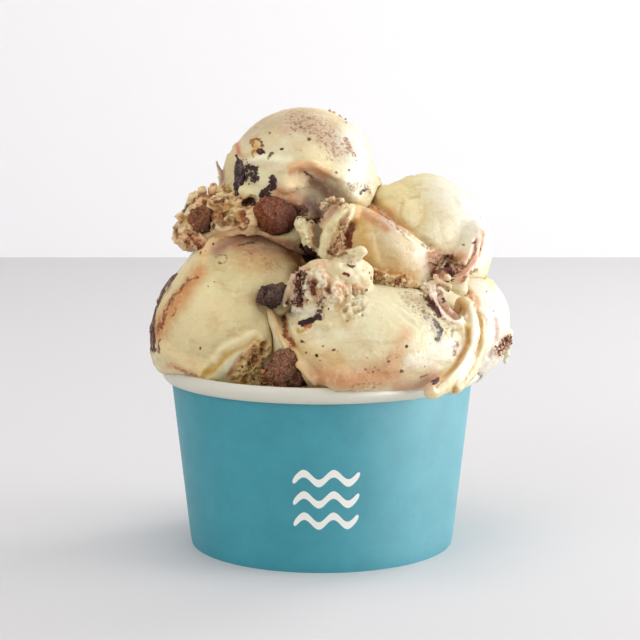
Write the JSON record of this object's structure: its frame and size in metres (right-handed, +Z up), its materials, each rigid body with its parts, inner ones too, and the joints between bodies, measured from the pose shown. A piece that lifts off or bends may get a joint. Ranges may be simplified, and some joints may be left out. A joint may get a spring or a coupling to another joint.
{
  "type": "gelato cup",
  "caption": "Round paper cup with a rolled rim, heaped high with scoops of marbled gelato that hold chunks of brownie, cookie and dark chocolate.",
  "frame": {"origin": "bottom centre of the whole part's box, on the surface that the cup stands on; the cup's own axis is 2.9 mm to the left of it and 1.4 mm behind it", "axes": "+Z up along the cup's axis, -Y towards the front, +X to the right as seen from the front"},
  "size_m": [0.1064, 0.0968, 0.128],
  "materials": {
    "printed_paper": "coated paper printed flat teal, white rim",
    "white_paper": "uncoated white paper board",
    "gelato": "cream gelato marbled with tan and brown, soft wet sheen",
    "brownie": "moist dark red-brown cake crumb",
    "cookie": "rough brown cookie crumb",
    "chocolate": "dull dark chocolate"
  },
  "bodies": {
    "root": {"cup_wall": "printed_paper", "cup_base": "white_paper", "gelato_fill": "gelato", "scoop_left": "gelato", "scoop_front": "gelato", "scoop_top": "gelato", "scoop_right": "gelato", "scoop_rear": "gelato", "brownie_middle": "brownie", "brownie_low": "brownie", "brownie_front": "brownie", "cookie_bit": "cookie", "chocolate_shard": "chocolate"}
  },
  "joints": []
}
